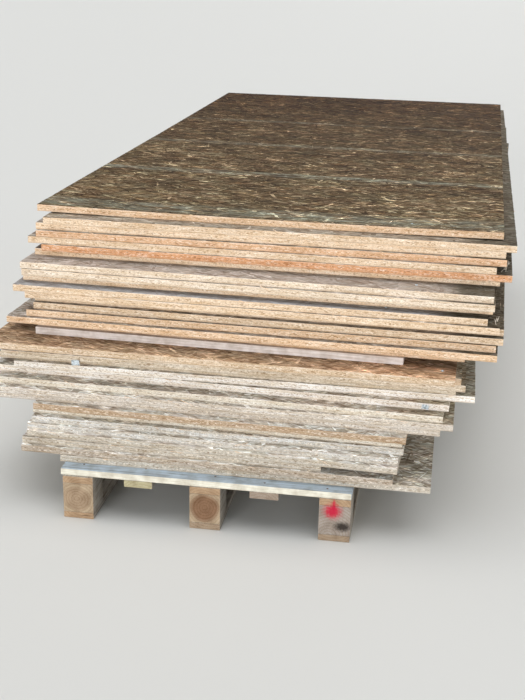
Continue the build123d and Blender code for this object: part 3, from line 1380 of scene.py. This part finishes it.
class STACK_OT_battens(bpy.types.Operator):
    """Make the battens between the upper and the middle panels"""

    bl_idname = "stack.battens"
    bl_label = "Battens"

    def execute(self, context):
        sizes, colours = settings()
        # The batten's second tint is painted shade: its faces other than the front and back are drawn
        # a little darker.
        material = sawn_timber(
            "batten_spruce",
            tuple(colours.batten),
            shaded(colours.batten, 0.85, 0.83, 0.82),
            ring_share=0.3,
        )
        cuts = (24, 1, 0)
        pith_below = 90 * MM
        for number, place in enumerate(BATTENS):
            node = f"batten_{place}"
            matrix, width, length, height = lie_of(node)
            bm = cut_block(width, length, height, cuts)
            round_arrises(bm, sizes.timber_edge)
            middle = Vector((width / 2, length / 2, height / 2))
            store_grain(bm, middle, 0, (0.0, -pith_below, number))
            bmesh.ops.transform(bm, matrix=matrix, verts=bm.verts)
            piece_from(bm, f"{node}_timber", node, [material])
        return {"FINISHED"}


def pallet_nails(sizes, material):
    """Nail heads where each cross board lies on each long board, just proud of the wood."""
    chance = random.Random(NAIL_SEED)
    sunk, head_height, crown = 0.4 * MM, 1.2 * MM, 0.42
    bm = bmesh.new()
    for node in CROSS_BOARDS:
        low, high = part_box(node)
        for place in LONG_BOARDS:
            line_low, line_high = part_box(f"pallet_long_board_{place}")
            for share in NAIL_ROWS:
                across = chance.uniform(-NAIL_STRAY_ACROSS, NAIL_STRAY_ACROSS)
                along = chance.uniform(-NAIL_STRAY_ALONG, NAIL_STRAY_ALONG)
                spot = (
                    (line_low.x + line_high.x) / 2 + across,
                    low.y + share * (high.y - low.y) + along,
                    high.z - sunk,
                )
                bmesh.ops.create_cone(
                    bm,
                    cap_ends=True,
                    segments=12,
                    radius1=sizes.nail_head / 2,
                    radius2=sizes.nail_head * crown,
                    depth=head_height,
                    matrix=Matrix.Translation(spot),
                )
    piece_from(bm, "pallet_nails", None, [material])


def pallet_woods(colours):
    """The sawn spruce of each kind of piece in the pallet, with its heart and its marks."""
    spray = tuple(colours.spray)
    low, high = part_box("pallet_block_right_1")
    sprayed = []
    for mark, tint in ((KNOT, linear(KNOT_BROWN)), (SPRAY_RUN, spray), (SPRAY_DOT, spray)):
        right, down, half_size, strength, rag = mark
        spot = (low.x + right * (high.x - low.x), low.y, high.z - down * (high.z - low.z))
        sprayed.append((spot, half_size, tint, strength, rag))
    low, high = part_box("pallet_bottom_board_left")
    spot = (high.x - CRACK_INSET, low.y, (low.z + high.z) / 2)
    half_size, strength, rag = CRACK
    cracked = [(spot, half_size, linear(CRACK_BROWN), strength, rag)]

    faint_heart = (37 * MM, 2 * MM, blended(colours.block, colours.heart, 0.35))
    dark_heart = (39 * MM, 7 * MM, tuple(colours.heart))
    rosy = blended(colours.pinkish, colours.line_board, 0.25)
    trodden = blended(colours.line_board, linear(FOOT_GREY), 0.45)
    kinds = {
        "left_block": (colours.block, {"heart": faint_heart}),
        "middle_block": (colours.block, {"heart": dark_heart}),
        "right_block": (colours.pinkish, {"marks": sprayed}),
        "line_board": (colours.line_board, {}),
        "sprayed_line_board": (colours.line_board, {"marks": sprayed}),
        "left_between": (colours.yellowish, {}),
        "right_between": (rosy, {}),
        "bottom_board": (trodden, {}),
        "cracked_board": (colours.line_board, {"marks": cracked}),
    }
    # The pallet's second tint is weathered grey with painted shade in it.
    shade, rain = tuple(colours.shade_grey), tuple(colours.rain_grey_and_sky_cast)
    woods = {
        name: sawn_timber(f"{name}_spruce", tuple(tint), shade, **options)
        for name, (tint, options) in kinds.items()
    }
    # The deck boards' second tint holds a painted blue cast of skylight.
    woods["deck"] = sawn_timber("deck_spruce", tuple(colours.deck), rain, ring_share=0.25)
    return woods


class STACK_OT_pallet(bpy.types.Operator):
    """Make the pallet's boards, blocks and nails"""

    bl_idname = "stack.pallet"
    bl_label = "Pallet"

    def execute(self, context):
        sizes, colours = settings()
        woods = pallet_woods(colours)
        edge = sizes.timber_edge
        # Piths lie away from the boards' middles, and each piece is cut from its own length of trunk
        for number, node in enumerate(CROSS_BOARDS, start=1):
            pith = (30 * MM * number - 80 * MM, 70 * MM, number)
            dressed_timber(node, 0, pith, edge, woods["deck"])
        for number, (place, wood) in enumerate(LONG_BOARDS.items()):
            pith = (20 * MM - 10 * MM * number, -50 * MM, 3.0 * number)
            dressed_timber(f"pallet_long_board_{place}", 1, pith, edge, woods[wood])
        for number, (place, (right, up)) in enumerate(BLOCK_PITHS.items()):
            wood = "cracked_board" if place == "left" else "bottom_board"
            pith = (30 * MM - 20 * MM * number, 80 * MM, 7.0 + number)
            dressed_timber(f"pallet_bottom_board_{place}", 1, pith, edge, woods[wood])
            for row in BLOCK_ROWS:
                pith_right = right + PITH_STEP_RIGHT * (row - 1)
                pith_up = up + PITH_STEP_UP * (row - 1)
                pith = (pith_right, pith_up, 5.0 * row + number)
                node = f"pallet_block_{place}_{row}"
                dressed_timber(node, 1, pith, edge, woods[f"{place}_block"])
        # Steel wire nails left in the rain: grey heads with brown rust, dull, hardly a shine
        rusted = blotched("rusted_nail", tuple(colours.nail), linear(RUST), 2.5 * MM, 0.6, 0.4)
        pallet_nails(sizes, rusted)
        return {"FINISHED"}


class STACK_OT_scraps(bpy.types.Operator):
    """Make the blank paper scraps on the middle panels' front edges, and a few paper crumbs"""

    bl_idname = "stack.scraps"
    bl_label = "Paper Scraps"

    def execute(self, context):
        _, colours = settings()
        # Thin blank paper left in the damp: off-white, matt, with faint stains
        material = blotched("blank_paper", tuple(colours.paper), linear(PAPER_STAIN), 4 * MM, 0.7)
        curl, creases, crease_depth = 26, 160, 1.2 * MM
        in_front, thickness = 2.0 * MM, 0.3 * MM
        for node, along, up, turn, width, height in SCRAPS:
            matrix = lie_of(node)[0]
            bm = bmesh.new()
            bmesh.ops.create_grid(bm, x_segments=6, y_segments=4, size=0.5)
            bmesh.ops.scale(bm, verts=bm.verts, vec=(width, height, 1))
            for vert in bm.verts:
                x, y, _ = vert.co
                crease = noise.noise(Vector((x * creases, y * creases, along)))
                vert.co.z = curl * x * x + crease_depth * crease
            bmesh.ops.solidify(bm, geom=bm.faces[:], thickness=thickness)
            stand = Matrix.Rotation(math.pi / 2, 4, "X") @ Matrix.Rotation(turn, 4, "Z")
            place = matrix @ Matrix.Translation((along, -in_front, up)) @ stand
            bmesh.ops.transform(bm, matrix=place, verts=bm.verts)
            bmesh.ops.recalc_face_normals(bm, faces=bm.faces)
            piece_from(bm, f"paper_scrap_{node}", None, [material])

        bm = bmesh.new()
        for node, along, back, up, radius in CRUMBS:
            place = lie_of(node)[0] @ Matrix.Translation((along, back, up))
            made = bmesh.ops.create_icosphere(bm, subdivisions=1, radius=radius)
            bmesh.ops.scale(bm, verts=made["verts"], vec=(1.3, 1.0, 0.7))
            bmesh.ops.transform(bm, matrix=place, verts=made["verts"])
        piece_from(bm, "paper_crumbs", None, [material])
        return {"FINISHED"}


class STACK_OT_stage(bpy.types.Operator):
    """Make the studio floor, the lights and the camera"""

    bl_idname = "stack.stage"
    bl_label = "Stage"

    def execute(self, context):
        _, colours = settings()
        scene = context.scene
        bm = bmesh.new()
        bmesh.ops.create_grid(bm, x_segments=1, y_segments=1, size=FLOOR_REACH)
        mesh = bpy.data.meshes.new("floor")
        bm.to_mesh(mesh)
        bm.free()
        # Seamless studio floor: painted flat and pale, matt, so that only soft shadows show on it
        material, _, shader = new_material("studio_floor", 0.9)
        shader.inputs["Base Color"].default_value = tuple(colours.floor)
        mesh.materials.append(material)
        floor = bpy.data.objects.new("floor", mesh)
        scene.collection.objects.link(floor)

        world = bpy.data.worlds.new("studio")
        world.use_nodes = True
        tree = world.node_tree
        tree.nodes.clear()
        path = add_node(tree, "ShaderNodeLightPath")
        seen = add_node(
            tree,
            "ShaderNodeMath",
            {0: path.outputs["Is Camera Ray"], 1: path.outputs["Is Glossy Ray"]},
            operation="MAXIMUM",
        )
        light = add_node(
            tree, "ShaderNodeBackground", {"Color": WORLD_TINT, "Strength": WORLD_LIGHT}
        )
        white = add_node(tree, "ShaderNodeBackground", {"Color": WHITE, "Strength": WORLD_WHITE})
        mix = add_node(
            tree,
            "ShaderNodeMixShader",
            {0: seen.outputs[0], 1: light.outputs[0], 2: white.outputs[0]},
        )
        add_node(tree, "ShaderNodeOutputWorld", {"Surface": mix.outputs[0]})
        scene.world = world

        for name, strength, turn, spread in LAMPS:
            data = bpy.data.lights.new(name, "SUN")
            data.energy = strength
            data.angle = math.radians(spread)
            lamp = bpy.data.objects.new(name, data)
            lamp.rotation_euler = [math.radians(angle) for angle in turn]
            scene.collection.objects.link(lamp)

        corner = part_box("pallet_deck_board_1")[0]
        camera_data = bpy.data.cameras.new("camera")
        camera_data.lens = CAMERA_LENS
        camera_data.sensor_width = CAMERA_FRAME
        camera = bpy.data.objects.new("camera", camera_data)
        camera.location = (corner.x + CAMERA_RIGHT, corner.y + CAMERA_BACK, CAMERA_HEIGHT)
        camera.rotation_euler = [math.radians(angle) for angle in CAMERA_TURN]
        scene.collection.objects.link(camera)
        scene.camera = camera
        scene.view_settings.view_transform = "Standard"
        return {"FINISHED"}


class STACK_PT_sidebar(bpy.types.Panel):
    """Sidebar tab with the stack's operators, sizes and colours"""

    bl_label = "Strand Board Stack"
    bl_idname = "STACK_PT_sidebar"
    bl_space_type = "VIEW_3D"
    bl_region_type = "UI"
    bl_category = "Stack"

    def draw(self, context):
        column = self.layout.column()
        for operator in OPERATORS:
            column.operator(operator.bl_idname)
        for group in (context.scene.stack_sizes, context.scene.stack_colours):
            for name in group.__annotations__:
                column.prop(group, name)


OPERATORS = (STACK_OT_panels, STACK_OT_battens, STACK_OT_pallet, STACK_OT_scraps, STACK_OT_stage)
CLASSES = (StackSizes, StackColours, *OPERATORS, STACK_PT_sidebar)


def register():
    """Registers the classes and hangs the settings on the scene."""
    for cls in CLASSES:
        bpy.utils.register_class(cls)
    bpy.types.Scene.stack_sizes = bpy.props.PointerProperty(type=StackSizes)
    bpy.types.Scene.stack_colours = bpy.props.PointerProperty(type=StackColours)


def unregister():
    """Takes away what register added."""
    del bpy.types.Scene.stack_colours
    del bpy.types.Scene.stack_sizes
    for cls in reversed(CLASSES):
        bpy.utils.unregister_class(cls)


def main():
    """Builds everything in order."""
    register()
    bpy.ops.stack.panels()
    bpy.ops.stack.battens()
    bpy.ops.stack.pallet()
    bpy.ops.stack.scraps()
    bpy.ops.stack.stage()


if __name__ == "__main__":
    main()
